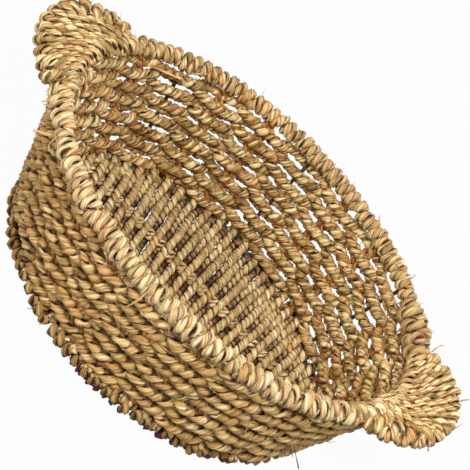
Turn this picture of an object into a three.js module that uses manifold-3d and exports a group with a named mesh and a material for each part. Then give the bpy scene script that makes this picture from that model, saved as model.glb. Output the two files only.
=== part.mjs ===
// An oval carrier basket for a casserole dish: seagrass cord woven round a steel wire frame,
// with a wound rim, a laced floor and a cord-wound ear handle at each end.
//
// Frame: millimetres, +Z up, +X towards the right handle. The origin is on the resting plane
// under the middle of the basket.

import * as THREE from 'three';
import { mergeVertices } from 'three/addons/utils/BufferGeometryUtils.js';
import Module from 'manifold-3d';

// Driving dimensions

const seatGap = 0.3;               // room kept between a cord or wire and what it rests on

const wireDiameter = 3.5;          // every wire of the frame
const rimHalfLength = 169;         // centre line of the rim ring
const rimHalfWidth = 115.5;
const baseHalfLength = 141.5;      // centre line of the base ring
const baseHalfWidth = 104.5;
const ringSpacing = 111;           // from the base ring's centre up to the rim ring's centre

const stakesPerBay = 3;            // wall intervals from one wire upright to the next
const stakeCordDiameter = 5.6;
const legGap = 0.2;                // between the two legs of a doubled cord stake

const rowCordDiameter = 6.8;
const rowGap = 0.4;                // least gap between one row and the next
const rimRowGap = 2;               // from the rim winding down to the top row
const floatHalfLength = 6.2;       // straight run of a row in front of or behind a cord stake

const rimCordDiameter = 6;
const rimTurnPitch = 8.4;

const handleCordDiameter = 5.2;
const handleTurns = 12;
const handleTurnPitch = 6.3;       // of the turns on the rim ring
const handleHalfWidth = 45;        // centre line of the loop wire
const handleReach = 34;            // from the rim ring's centre line out to the loop wire's
const handleTilt = 10;             // degrees that the ear rises outwards
const handleFan = 72;              // degrees from the middle of the loop to its outermost turn

const laceCordDiameter = 5.4;
const laceCyclePitch = 12.4;       // one run out and one run back
const bayCycles = 8;               // lacing cycles from the middle wire upright to the next
const laceEndRoom = 24;            // least run from a floor stay out to the base ring
const stayDiameter = 4.8;
const stayOffset = 35;             // of a floor stay from the middle of the floor
const stayLift = 1.2;              // of the stays above the base ring's centre
const restCut = laceCordDiameter / 10;

// Worked-out radii and levels

const wireRadius = wireDiameter / 2;
const stakeRadius = stakeCordDiameter / 2;
const rowRadius = rowCordDiameter / 2;
const rimCordRadius = rimCordDiameter / 2;
const handleCordRadius = handleCordDiameter / 2;
const laceRadius = laceCordDiameter / 2;
const stayRadius = stayDiameter / 2;

const wireSides = 6;
const cordSides = 5;
const laceSides = 6;
const rimSteps = 6;                // per turn of the rim winding
const wrapSteps = 4;               // per half turn at either end of a handle turn
const loopSteps = 16;              // straight pieces of a handle's loop wire
const bendSteps = 4;               // of the half turn at the foot of a cord stake
const laceTurnShares = [0.4, 0.85];  // how far round the ring the lacing turns outwards
const weldDistance = 1e-4;

const pentagonFlat = Math.cos(Math.PI / cordSides);
const pentagonHalfWidth = Math.sin((2 * Math.PI) / cordSides);
const hexagonFlat = Math.cos(Math.PI / laceSides);

const onWire = wireRadius + seatGap;
const rimTurnRadius = (onWire + rimCordRadius * pentagonFlat) / Math.cos(Math.PI / rimSteps);
const rimOutside = rimTurnRadius + rimCordRadius;
const handleTurnRadius =
  (onWire + handleCordRadius * pentagonFlat) / Math.cos(Math.PI / (2 * wrapSteps));
const laceWrapAngle = Math.PI / 6;
const laceTurnRadius = (onWire + laceRadius * hexagonFlat) / Math.cos(laceWrapAngle);
const laceOutside = laceTurnRadius + laceRadius * hexagonFlat;

const baseZ = laceOutside - restCut;
const rimZ = baseZ + ringSpacing;

const firstRowZ = baseZ + laceOutside + seatGap + rowRadius * pentagonFlat;
const topRowLimit = rimZ - rimOutside - rimRowGap - rowRadius;
const rowSpace = topRowLimit - firstRowZ;
const rowCount = Math.floor(rowSpace / (rowCordDiameter + rowGap)) + 1;
const rowPitch = rowSpace / (rowCount - 1);

const up = new THREE.Vector3(0, 0, 1);

// Materials

const finishes = {
  wire: { color: 0x25211e, roughness: 0.45, metalness: 0.7 },
  wall: { color: 0xb08a52, roughness: 0.88, metalness: 0 },
  stake: { color: 0x8a6238, roughness: 0.9, metalness: 0 },
  rim: { color: 0xd6bc8a, roughness: 0.85, metalness: 0 },
  handle: { color: 0xcfa968, roughness: 0.85, metalness: 0 },
  floor: { color: 0xb99a62, roughness: 0.88, metalness: 0 },
};

function part(name, geometry, finish) {
  const mesh = new THREE.Mesh(geometry, new THREE.MeshStandardMaterial(finishes[finish]));
  mesh.name = name;
  return mesh;
}

// The frame's outline at any height: an ellipse that widens evenly from the base to the rim.

function outline(angle, z) {
  const share = (z - baseZ) / ringSpacing;
  const a = THREE.MathUtils.lerp(baseHalfLength, rimHalfLength, share);
  const b = THREE.MathUtils.lerp(baseHalfWidth, rimHalfWidth, share);
  const c = Math.cos(angle);
  const s = Math.sin(angle);
  return {
    point: new THREE.Vector3(a * c, b * s, z),
    out: new THREE.Vector3(b * c, a * s, 0).normalize(),
    along: new THREE.Vector3(-a * s, b * c, 0).normalize(),
  };
}

// The stakes of one half of the wall. Every third one is a steel upright, which comes down on
// the base ring midway between two runs of the lacing. The other half is the same, turned round.

const uprightAngles = [
  0,
  Math.acos((laceCyclePitch * (bayCycles - 0.25)) / baseHalfLength),
  Math.acos((laceCyclePitch * -0.25) / baseHalfLength),
  Math.acos((laceCyclePitch * (-bayCycles - 0.25)) / baseHalfLength),
  Math.PI,
];

function halfStakeAngles() {
  const angles = [];
  for (let bay = 0; bay < uprightAngles.length - 1; bay += 1) {
    for (let i = 0; i < stakesPerBay; i += 1) {
      const share = i / stakesPerBay;
      angles.push(THREE.MathUtils.lerp(uprightAngles[bay], uprightAngles[bay + 1], share));
    }
  }
  return angles;
}

const halfStakes = halfStakeAngles();
const stakeAngles = [...halfStakes, ...halfStakes.map((angle) => angle + Math.PI)];
const isUpright = (k) => k % stakesPerBay === 0;

// Sweeps

function polygonSection(radius, sides, firstAngle) {
  const corners = [];
  for (let i = 0; i < sides; i += 1) {
    const angle = firstAngle + (2 * Math.PI * i) / sides;
    corners.push([radius * Math.cos(angle), radius * Math.sin(angle)]);
  }
  return corners;
}

function tangents(points, closed) {
  const count = points.length;
  return points.map((point, i) => {
    const before = closed ? points[(i + count - 1) % count] : points[Math.max(i - 1, 0)];
    const after = closed ? points[(i + 1) % count] : points[Math.min(i + 1, count - 1)];
    const arriving = point.clone().sub(before).normalize();
    const leaving = after.clone().sub(point).normalize();
    return arriving.add(leaving).normalize();
  });
}

// A tube through the points. outward(i, tangent) gives the side that the section's first axis
// faces at point i.
function tube(points, section, outward, closed = false) {
  const ways = tangents(points, closed);
  const positions = [];
  points.forEach((point, i) => {
    const way = ways[i];
    const first = outward(i, way).clone();
    first.addScaledVector(way, -first.dot(way)).normalize();
    const second = way.clone().cross(first);
    for (const [x, y] of section) {
      const corner = point.clone().addScaledVector(first, x).addScaledVector(second, y);
      positions.push(corner.x, corner.y, corner.z);
    }
  });
  const sides = section.length;
  const faces = [];
  const spans = closed ? points.length : points.length - 1;
  for (let i = 0; i < spans; i += 1) {
    const near = i * sides;
    const far = ((i + 1) % points.length) * sides;
    for (let j = 0; j < sides; j += 1) {
      const next = (j + 1) % sides;
      faces.push(near + j, near + next, far + next, near + j, far + next, far + j);
    }
  }
  if (!closed) {
    const last = (points.length - 1) * sides;
    for (let j = 1; j < sides - 1; j += 1) {
      faces.push(0, j + 1, j, last, last + j, last + j + 1);
    }
  }
  const geometry = new THREE.BufferGeometry();
  geometry.setAttribute('position', new THREE.Float32BufferAttribute(positions, 3));
  geometry.setIndex(faces);
  geometry.computeVertexNormals();
  return geometry;
}

// A path of straight pieces that can be asked for the place at a length along it.
function measuredPath(points, outs) {
  const lengths = [0];
  for (let i = 1; i < points.length; i += 1) {
    lengths.push(lengths[i - 1] + points[i].distanceTo(points[i - 1]));
  }
  const total = lengths[lengths.length - 1];
  function at(length) {
    let i = 1;
    while (i < points.length - 1 && lengths[i] < length) i += 1;
    const share = (length - lengths[i - 1]) / (lengths[i] - lengths[i - 1]);
    return {
      point: points[i - 1].clone().lerp(points[i], share),
      out: outs[i - 1].clone().lerp(outs[i], share).normalize(),
    };
  }
  return { at, total, lengths };
}

// Least gap between turns of a winding, measured on points along its centre line.
function reportLeastGap(name, points, diameter, turnLength) {
  const pointsPerStep = 4;
  const sameTurn = 0.6 * turnLength;
  const fine = [];
  const runs = [];
  let run = 0;
  for (let i = 1; i < points.length; i += 1) {
    const step = points[i].distanceTo(points[i - 1]);
    for (let j = 0; j < pointsPerStep; j += 1) {
      fine.push(points[i - 1].clone().lerp(points[i], j / pointsPerStep));
      runs.push(run + (step * j) / pointsPerStep);
    }
    run += step;
  }
  let least = Infinity;
  for (let i = 0; i < fine.length; i += 1) {
    for (let j = i + 1; j < fine.length; j += 1) {
      if (runs[j] - runs[i] > sameTurn) {
        least = Math.min(least, fine[i].distanceTo(fine[j]));
      }
    }
  }
  console.log(`${name}: least gap to itself ${(least - diameter).toFixed(2)} mm`);
}

// Steel wire frame

function ringAngles() {
  const angles = [];
  stakeAngles.forEach((angle, k) => {
    const next = k + 1 < stakeAngles.length ? stakeAngles[k + 1] : 2 * Math.PI;
    angles.push(angle, (angle + next) / 2);
  });
  return angles;
}

const ringCorners = ringAngles();

function ring(name, z) {
  const points = ringCorners.map((angle) => outline(angle, z).point);
  const section = polygonSection(wireRadius, wireSides, 0);
  return part(name, tube(points, section, () => up, true), 'wire');
}

function stakeLine(angle) {
  const foot = outline(angle, baseZ).point;
  const head = outline(angle, rimZ).point;
  const way = head.clone().sub(foot).normalize();
  return { foot, head, way };
}

function upright(name, angle) {
  const { foot, head, way } = stakeLine(angle);
  const length = head.distanceTo(foot) - 2 * onWire;
  const wire = new THREE.CylinderGeometry(wireRadius, wireRadius, length, wireSides);
  const mesh = part(name, wire, 'wire');
  mesh.position.copy(foot).lerp(head, 0.5);
  mesh.quaternion.setFromUnitVectors(new THREE.Vector3(0, 1, 0), way);
  return mesh;
}

// The right ear's loop of wire starts and ends against the outside of the rim ring.

const loopEndAngle = Math.asin(handleHalfWidth / rimHalfWidth);
const loopEnd = outline(loopEndAngle, rimZ);
const loopEndX =
  loopEnd.point.x + (onWire + wireRadius * loopEnd.out.y) / loopEnd.out.x;
const loopTipX = rimHalfLength + handleReach;

function loopCentreLine() {
  const points = [];
  const outs = [];
  const rise = Math.tan(THREE.MathUtils.degToRad(handleTilt));
  for (let i = 0; i <= loopSteps; i += 1) {
    const angle = Math.PI * (i / loopSteps - 0.5);
    const x = loopEndX + (loopTipX - loopEndX) * Math.cos(angle);
    const y = handleHalfWidth * Math.sin(angle);
    points.push(new THREE.Vector3(x, y, rimZ + (x - loopEndX) * rise));
  }
  const ways = tangents(points, false);
  ways.forEach((way) => outs.push(new THREE.Vector3(way.y, -way.x, 0).normalize()));
  return { points, outs };
}

const loopLine = loopCentreLine();
const loopPath = measuredPath(loopLine.points, loopLine.outs);

function handleLoop(name) {
  const section = polygonSection(wireRadius, wireSides, 0);
  return part(name, tube(loopLine.points, section, () => up), 'wire');
}

// The rim ring as a path, counted from the middle of the right ear, both ways round.

function rimPathFrom(angles) {
  const places = angles.map((angle) => outline(angle, rimZ));
  return measuredPath(places.map((p) => p.point), places.map((p) => p.out));
}

const halfAngles = [...ringCorners.slice(0, ringCorners.length / 2), Math.PI];
const halfRim = rimPathFrom(halfAngles);
const earSpread = 12;              // ring corners either side of the middle of an ear
const earAngles = [];
for (let i = -earSpread; i <= earSpread; i += 1) {
  const turn = i < 0 ? -2 * Math.PI : 0;
  earAngles.push(ringCorners[(i + ringCorners.length) % ringCorners.length] + turn);
}
const earRim = rimPathFrom(earAngles);
const earMiddle = earRim.lengths[earSpread];

// Handle winding: one cord taken round the loop wire and the rim ring, turn beside turn, with
// a wider step in the middle where the end upright meets the ring.

const wrapShare = wrapSteps / (2 * wrapSteps + 2);
const besideUpright = onWire + handleCordRadius;

function alongRing(turn) {
  const lastBefore = handleTurns / 2 - 1 + wrapShare;
  const firstAfter = handleTurns / 2;
  if (turn <= lastBefore) return -besideUpright - handleTurnPitch * (lastBefore - turn);
  if (turn >= firstAfter) return besideUpright + handleTurnPitch * (turn - firstAfter);
  const share = (turn - lastBefore) / (firstAfter - lastBefore);
  return THREE.MathUtils.lerp(-besideUpright, besideUpright, share);
}

function handleWindingLine() {
  const points = [];
  const outs = [];
  const stepsPerTurn = 2 * wrapSteps + 2;
  const loopStart = loopPath.total * (0.5 - handleFan / 180);
  const loopRun = loopPath.total - 2 * loopStart;
  const lastStep = handleTurns * stepsPerTurn - 1;
  for (let step = 0; step <= lastStep; step += 1) {
    const turn = step / stepsPerTurn;
    const inTurn = step % stepsPerTurn;
    const ringPlace = earRim.at(earMiddle + alongRing(turn));
    const loopPlace = loopPath.at(loopStart + (loopRun * step) / lastStep);
    const onRing = inTurn <= wrapSteps;
    const place = onRing ? ringPlace : loopPlace;
    const wrapped = onRing ? inTurn : inTurn - wrapSteps - 1;
    const start = onRing ? Math.PI / 2 : -Math.PI / 2;
    const angle = start + (Math.PI * wrapped) / wrapSteps;
    const out = place.out.clone().multiplyScalar(Math.cos(angle));
    out.addScaledVector(up, Math.sin(angle));
    points.push(place.point.clone().addScaledVector(out, handleTurnRadius));
    outs.push(out);
  }
  return { points, outs };
}

function handleWinding(name) {
  const { points, outs } = handleWindingLine();
  const turnLength = 2 * handleReach + 2 * Math.PI * handleTurnRadius;
  reportLeastGap(name, points, handleCordDiameter, turnLength);
  const section = polygonSection(handleCordRadius, cordSides, 0);
  return part(name, tube(points, section, (i) => outs[i]), 'handle');
}

// Rim winding: each cord is wound over two bays, from an ear to the middle upright. Its turns
// pass the uprights with a wider step, so that every upright reaches the ring.

const besideRimUpright = onWire + seatGap + rimCordRadius;
const rimStart = loopEndLength() + wireRadius + rimCordDiameter;

// Length of rim ring from the middle of the ear to the end of its loop wire.
function loopEndLength() {
  const after = halfAngles.findIndex((angle) => angle > loopEndAngle);
  const [from, to] = [halfAngles[after - 1], halfAngles[after]];
  const share = (loopEndAngle - from) / (to - from);
  return THREE.MathUtils.lerp(halfRim.lengths[after - 1], halfRim.lengths[after], share);
}

const uprightLengths = [1, 2, 3].map((i) => halfRim.lengths[2 * stakesPerBay * i]);

function turnPlaces(from, to) {
  const turns = Math.max(Math.floor((to - from) / rimTurnPitch), 1);
  const places = [];
  for (let i = 0; i <= turns; i += 1) places.push(THREE.MathUtils.lerp(from, to, i / turns));
  return places;
}

function rimWinding(name, first, middle, last) {
  const places = [
    ...turnPlaces(first, middle - besideRimUpright),
    ...turnPlaces(middle + besideRimUpright, last),
  ];
  const points = [];
  const outs = [];
  const steps = (places.length - 1) * rimSteps;
  for (let step = 0; step <= steps; step += 1) {
    const turn = Math.min(Math.floor(step / rimSteps), places.length - 2);
    const share = step / rimSteps - turn;
    const place = halfRim.at(THREE.MathUtils.lerp(places[turn], places[turn + 1], share));
    const angle = -Math.PI / 2 - (2 * Math.PI * step) / rimSteps;
    const out = place.out.clone().multiplyScalar(Math.cos(angle));
    out.addScaledVector(up, Math.sin(angle));
    points.push(place.point.clone().addScaledVector(out, rimTurnRadius));
    outs.push(out);
  }
  reportLeastGap(name, points, rimCordDiameter, 2 * Math.PI * rimTurnRadius);
  const section = polygonSection(rimCordRadius, cordSides, 0);
  return part(name, tube(points, section, (i) => outs[i]), 'rim');
}

// Cord stakes: a doubled cord that stands between the floor lacing and the rim winding.

function cordStake(name, angle) {
  const { foot, head, way } = stakeLine(angle);
  const along = outline(angle, baseZ).along;
  const halfSpread = stakeRadius + legGap / 2;
  const footRise = laceOutside + seatGap + stakeRadius + halfSpread;
  const bottom = foot.clone().addScaledVector(way, footRise);
  const top = head.clone().addScaledVector(way, -(rimOutside + seatGap));
  const points = [top.clone().addScaledVector(along, -halfSpread)];
  const outs = [along.clone().negate()];
  for (let i = 0; i <= bendSteps; i += 1) {
    const bend = Math.PI + (Math.PI * i) / bendSteps;
    const out = along.clone().multiplyScalar(Math.cos(bend));
    out.addScaledVector(way, Math.sin(bend));
    points.push(bottom.clone().addScaledVector(out, halfSpread));
    outs.push(out);
  }
  points.push(top.clone().addScaledVector(along, halfSpread));
  outs.push(along);
  const section = polygonSection(stakeRadius, cordSides, 0);
  return part(name, tube(points, section, (i) => outs[i]), 'stake');
}

// Wall rows: single cords, each in front of one stake and behind the next.

const steepest = Math.atan2(rimHalfLength - baseHalfLength, ringSpacing);
const narrowestStep = outline(stakeAngles[0], baseZ).point
  .distanceTo(outline(stakeAngles[1], baseZ).point);
const cordOffset =
  (stakeRadius + seatGap) / Math.cos(steepest) + rowRadius * pentagonHalfWidth;
const rowLean = Math.atan2(2 * cordOffset, narrowestStep - floatHalfLength);
const wireOffset =
  (onWire / Math.cos(steepest) + rowRadius * pentagonHalfWidth) / Math.cos(rowLean);

function wallRow(name, row) {
  const z = firstRowZ + rowPitch * row;
  const points = [];
  const outs = [];
  stakeAngles.forEach((angle, k) => {
    const side = (k + row) % 2 === 0 ? 1 : -1;
    const { point, out, along } = outline(angle, z);
    const offset = isUpright(k) ? wireOffset : cordOffset;
    const beside = point.clone().addScaledVector(out, side * offset);
    const halfRuns = isUpright(k) ? [0] : [-floatHalfLength, floatHalfLength];
    for (const halfRun of halfRuns) {
      points.push(beside.clone().addScaledVector(along, halfRun));
      outs.push(up);
    }
  });
  const section = polygonSection(rowRadius, cordSides, 0);
  return part(name, tube(points, section, (i) => outs[i], true), 'wall');
}

// Floor: two stays lie along the basket, and one cord is laced across it from side to side,
// over one stay and under the other, and round the base ring between runs.

const basePoints = ringCorners.map((angle) => outline(angle, baseZ));

function baseRingAt(x, side) {
  for (let i = 0; i < basePoints.length; i += 1) {
    const a = basePoints[i];
    const b = basePoints[(i + 1) % basePoints.length];
    const onSide = (a.point.y + b.point.y) * side > 0;
    const crosses = (a.point.x - x) * (b.point.x - x) <= 0;
    if (onSide && crosses) {
      const share = (x - a.point.x) / (b.point.x - a.point.x);
      return {
        point: a.point.clone().lerp(b.point, share),
        out: a.out.clone().lerp(b.out, share).normalize(),
      };
    }
  }
  throw new Error(`no base ring at x = ${x}`);
}

function lacingCycles() {
  const reach = stayOffset + laceEndRoom;
  const longest = baseHalfLength * Math.sqrt(1 - (reach / baseHalfWidth) ** 2);
  return Math.floor(longest / laceCyclePitch - 0.25);
}

const stayCrossing = stayRadius + seatGap + laceRadius * hexagonFlat;

// One run across the floor, from the top of the ring on one side to its underside on the other.
function lacingRun(x, side) {
  const from = baseRingAt(x, side).point;
  const to = baseRingAt(x, -side).point;
  const slope = Math.atan2(laceTurnRadius + stayCrossing, Math.abs(from.y) - stayOffset);
  const crossing = stayCrossing / Math.cos(slope);
  return [
    from.clone().addScaledVector(up, laceTurnRadius),
    new THREE.Vector3(x, side * stayOffset, baseZ + stayLift - crossing),
    new THREE.Vector3(x, -side * stayOffset, baseZ + stayLift + crossing),
    to.clone().addScaledVector(up, -laceTurnRadius),
  ];
}

// The turn round the ring, from its underside at one run up to its top at the next.
function lacingTurn(fromX, toX, side) {
  const angles = [-laceWrapAngle, laceWrapAngle];
  return laceTurnShares.map((share, i) => {
    const place = baseRingAt(THREE.MathUtils.lerp(fromX, toX, share), side);
    return place.point
      .clone()
      .addScaledVector(place.out, laceTurnRadius * Math.cos(angles[i]))
      .addScaledVector(up, laceTurnRadius * Math.sin(angles[i]));
  });
}

function lacingLine() {
  const cycles = lacingCycles();
  const points = [];
  for (let cycle = -cycles; cycle <= cycles; cycle += 1) {
    const nearX = laceCyclePitch * (cycle - 0.25);
    const farX = laceCyclePitch * (cycle + 0.25);
    points.push(...lacingRun(nearX, -1));
    points.push(...lacingTurn(nearX, farX, 1));
    points.push(...lacingRun(farX, 1));
    if (cycle < cycles) points.push(...lacingTurn(farX, nearX + laceCyclePitch, -1));
  }
  return points;
}

const wasm = await Module();
wasm.setup();

function toSolid(geometry) {
  const bare = geometry.clone();
  bare.deleteAttribute('normal');
  bare.deleteAttribute('uv');
  const merged = mergeVertices(bare, weldDistance);
  return new wasm.Manifold(new wasm.Mesh({
    numProp: 3,
    vertProperties: new Float32Array(merged.attributes.position.array),
    triVerts: new Uint32Array(merged.index.array),
  }));
}

function toGeometry(solid) {
  const { vertProperties, triVerts } = solid.getMesh();
  const geometry = new THREE.BufferGeometry();
  geometry.setAttribute('position', new THREE.Float32BufferAttribute(vertProperties, 3));
  geometry.setIndex(new THREE.BufferAttribute(triVerts, 1));
  geometry.computeVertexNormals();
  return geometry;
}

// The lacing is pressed flat where the basket stands on it, at z = 0.
function floorLacing(name) {
  const points = lacingLine();
  const lengthwise = new THREE.Vector3(1, 0, 0);
  const section = polygonSection(laceRadius, laceSides, Math.PI / laceSides);
  const cord = tube(points, section, (i, way) => lengthwise.clone().cross(way));
  const below = new THREE.BoxGeometry(4 * rimHalfLength, 4 * rimHalfWidth, laceCordDiameter);
  below.translate(0, 0, -laceCordDiameter / 2);
  return part(name, toGeometry(toSolid(cord).subtract(toSolid(below))), 'floor');
}

function floorStay(name, side) {
  const angle = Math.asin(stayOffset / baseHalfWidth);
  const { point, out } = outline(angle, baseZ);
  const endX = point.x - (onWire + stayRadius * out.y) / out.x;
  const cord = new THREE.CylinderGeometry(stayRadius, stayRadius, 2 * endX, laceSides);
  const mesh = part(name, cord, 'floor');
  mesh.position.set(0, side * stayOffset, baseZ + stayLift);
  mesh.rotation.z = Math.PI / 2;
  return mesh;
}

// Assembly

const basket = new THREE.Group();
basket.add(ring('rim_ring', rimZ), ring('base_ring', baseZ));

let uprightNumber = 0;
let stakeNumber = 0;
let windingNumber = 0;

for (const side of ['right', 'left']) {
  const half = new THREE.Group();
  half.rotation.z = side === 'right' ? 0 : Math.PI;
  halfStakes.forEach((angle, k) => {
    if (isUpright(k)) {
      uprightNumber += 1;
      half.add(upright(`wire_upright_${uprightNumber}`, angle));
    } else {
      stakeNumber += 1;
      half.add(cordStake(`cord_stake_${String(stakeNumber).padStart(2, '0')}`, angle));
    }
  });
  const [firstUpright, middleUpright, lastUpright] = uprightLengths;
  const beforeMiddle = middleUpright - besideRimUpright;
  const afterMiddle = middleUpright + besideRimUpright;
  const rimEnd = halfRim.total - rimStart;
  windingNumber += 2;
  half.add(
    rimWinding(`rim_winding_${windingNumber - 1}`, rimStart, firstUpright, beforeMiddle),
    rimWinding(`rim_winding_${windingNumber}`, afterMiddle, lastUpright, rimEnd),
    handleLoop(`${side}_handle_loop`),
    handleWinding(`${side}_handle_winding`),
  );
  basket.add(half);
}

for (let row = 0; row < rowCount; row += 1) {
  basket.add(wallRow(`wall_row_${String(row + 1).padStart(2, '0')}`, row));
}

basket.add(
  floorLacing('floor_lacing'),
  floorStay('floor_stay_1', 1),
  floorStay('floor_stay_2', -1),
);

export default basket;
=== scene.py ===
# %% [markdown]
# # A casserole carrier basket of seagrass cord
#
# The real basket is a frame of black-coated steel wire with two-ply seagrass cord woven, wound
# and laced over it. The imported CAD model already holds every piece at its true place, but its
# cords are plain faceted tubes. This lesson keeps the wires and lays real-looking cord along the
# same routes: plies that twist round each other, fibres that run along the plies, and a few
# loose straws.
#
# Everything is in metres, in the frame of the CAD model: +Z is up, +X runs to the right ear.

# %% Load the frame
import math

import bpy
from mathutils import Matrix, Vector


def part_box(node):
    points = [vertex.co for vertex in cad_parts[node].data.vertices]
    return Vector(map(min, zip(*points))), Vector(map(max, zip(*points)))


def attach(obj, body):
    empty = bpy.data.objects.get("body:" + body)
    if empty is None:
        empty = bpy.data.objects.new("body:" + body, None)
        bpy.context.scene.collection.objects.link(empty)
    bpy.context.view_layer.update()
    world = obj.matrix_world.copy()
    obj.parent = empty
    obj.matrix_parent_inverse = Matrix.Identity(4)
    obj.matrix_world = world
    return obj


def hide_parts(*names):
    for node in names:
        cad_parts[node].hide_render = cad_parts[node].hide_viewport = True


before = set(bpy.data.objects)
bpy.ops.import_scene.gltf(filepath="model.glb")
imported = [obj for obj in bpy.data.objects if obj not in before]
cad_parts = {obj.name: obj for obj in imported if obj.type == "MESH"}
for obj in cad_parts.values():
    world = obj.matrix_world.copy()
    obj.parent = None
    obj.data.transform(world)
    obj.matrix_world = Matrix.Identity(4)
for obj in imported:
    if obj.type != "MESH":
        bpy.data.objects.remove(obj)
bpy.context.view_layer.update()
scene = bpy.context.scene
MM = 0.001
UP = Vector((0, 0, 1))
print("nodes in the frame:", len(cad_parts))

# %% [markdown]
# ## The camera
#
# The basket is photographed from above the front, with the picture turned by about 45 degrees
# so that the long oval runs from corner to corner. The lens is long, so that near and far sides
# have nearly the same size. The camera looks a little past the middle of the basket, which puts
# the basket where it is in the frame without any lens shift.

# %% Place the camera
IMAGE_SIZE = 470
FOCAL_PIXELS = 2016.5
SENSOR_WIDTH = 36
CAMERA_ELEVATION = math.radians(43)
CAMERA_AZIMUTH = math.radians(3.45)
CAMERA_ROLL = math.radians(44.75)
CAMERA_DISTANCE = 1.5
WALL_MIDDLE = Vector((0, 0, 62.4 * MM))
WALL_MIDDLE_PIXEL = (204.2, 264.0)


def camera_axes():
    """Right, up and back of the camera, before it is aimed past the middle."""
    az, el, roll = CAMERA_AZIMUTH, CAMERA_ELEVATION, CAMERA_ROLL
    level = Vector((math.cos(az), math.sin(az), 0))
    back = Vector((math.sin(az) * math.cos(el), -math.cos(az) * math.cos(el), math.sin(el)))
    upright = back.cross(level)
    right = level * math.cos(roll) + upright * math.sin(roll)
    up = upright * math.cos(roll) - level * math.sin(roll)
    return right, up, back


right, up, back = camera_axes()
aim_right = IMAGE_SIZE / 2 - WALL_MIDDLE_PIXEL[0]
aim_up = WALL_MIDDLE_PIXEL[1] - IMAGE_SIZE / 2
aim = (right * aim_right + up * aim_up - back * FOCAL_PIXELS).normalized()
turn = (-back).rotation_difference(aim).to_matrix()

camera_data = bpy.data.cameras.new("camera")
camera_data.sensor_width = SENSOR_WIDTH
camera_data.lens = FOCAL_PIXELS / IMAGE_SIZE * SENSOR_WIDTH
camera = bpy.data.objects.new("camera", camera_data)
axes = Matrix([turn @ right, turn @ up, turn @ back]).transposed()
camera.matrix_world = Matrix.Translation(WALL_MIDDLE + back * CAMERA_DISTANCE) @ axes.to_4x4()
scene.collection.objects.link(camera)
scene.camera = camera
print("lens", round(camera_data.lens, 1), "mm, camera at", [round(c, 3) for c in camera.location])

# %% [markdown]
# ## Nodes in few lines
#
# Shader trees and geometry trees are both made of nodes and links. One small helper links an
# input to a socket or sets it to a value. Another adds a node, sets its options, fills in its
# inputs and gives back its outputs. They keep the trees below short enough to read as a list of
# steps.

# %% Helpers that add nodes
def fill(tree, node, inputs):
    for socket, value in inputs.items():
        if isinstance(value, bpy.types.NodeSocket):
            tree.links.new(value, node.inputs[socket])
        else:
            node.inputs[socket].default_value = value


def add(tree, kind, inputs=None, **options):
    node = tree.nodes.new(kind)
    for name, value in options.items():
        setattr(node, name, value)
    fill(tree, node, inputs or {})
    return node.outputs


def calc(tree, operation, a, b=0.0, c=0.0):
    return add(tree, "ShaderNodeMath", {0: a, 1: b, 2: c}, operation=operation)[0]


def vector_calc(tree, operation, a, b=(0, 0, 0), c=(0, 0, 0)):
    return add(tree, "ShaderNodeVectorMath", {0: a, 1: b, 2: c}, operation=operation)["Vector"]


def scaled(tree, vector, factor):
    return add(tree, "ShaderNodeVectorMath", {0: vector, "Scale": factor},
               operation="SCALE")["Vector"]


def new_group(name, kind, inputs, outputs):
    group = bpy.data.node_groups.new(name, kind)
    for label, socket_type, value in inputs:
        socket = group.interface.new_socket(label, in_out="INPUT", socket_type=socket_type)
        if value is not None:
            socket.default_value = value
    for label, socket_type in outputs:
        group.interface.new_socket(label, in_out="OUTPUT", socket_type=socket_type)
    return group, add(group, "NodeGroupInput"), group.nodes.new("NodeGroupOutput")


FLOAT, WHOLE, VECTOR = "NodeSocketFloat", "NodeSocketInt", "NodeSocketVector"
COLOUR, SHAPE, FINISH = "NodeSocketColor", "NodeSocketGeometry", "NodeSocketMaterial"
print("socket kinds:", FLOAT, WHOLE, VECTOR, COLOUR, SHAPE, FINISH)

# %% [markdown]
# ## Laying plies round a line
#
# A laid cord is two or three plies that turn round each other like the threads of a screw. Each
# ply could be drawn as its own helix by hand, but every cord of the basket needs the same thing
# along another line, so Geometry Nodes do it once. The line is resampled to even steps, made to
# wander a little, and then copied once for each ply.

# %% The tree that lays plies, and its wandering line
CORD_SOCKETS = [
    ("Diameter", FLOAT, 7 * MM),
    ("Plies", WHOLE, 2),
    ("Ply Share", FLOAT, 0.58),
    ("Lay Length", FLOAT, 15.5 * MM),
    ("Lay Slip", FLOAT, 0.7),
    ("Lay Start", FLOAT, 0.0),
    ("Lay Drift", FLOAT, 0.0),
    ("Side Shade", FLOAT, 0.2),
    ("Inner Shade", FLOAT, 0.0),
    ("Level", FLOAT, 0.0),
    ("Press", FLOAT, 1.0),
    ("Step", FLOAT, 1.4 * MM),
    ("Ply Sides", WHOLE, 12),
    ("Flatness", FLOAT, 0.78),
    ("Wander", FLOAT, 0.6 * MM),
    ("Unevenness", FLOAT, 0.18),
    ("Ridges", FLOAT, 0.4 * MM),
    ("Straws", FLOAT, 1100.0),
    ("Straw Length", FLOAT, 12 * MM),
    ("Seed", FLOAT, 0.0),
    ("Material", FINISH, None),
]
WANDER_SCALE = 38
SWING_GAIN = 5.0

lay, get, result = new_group(
    "Lay plies", "GeometryNodeTree", [("Curve", SHAPE, None)] + CORD_SOCKETS, [("Mesh", SHAPE)]
)
smooth = add(lay, "GeometryNodeCurveSplineType", {"Curve": get["Curve"]},
             spline_type="CATMULL_ROM")
even = add(lay, "GeometryNodeResampleCurve",
           {"Curve": smooth[0], "Length": get["Step"]}, mode="LENGTH")
place = add(lay, "GeometryNodeInputPosition")[0]


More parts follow.
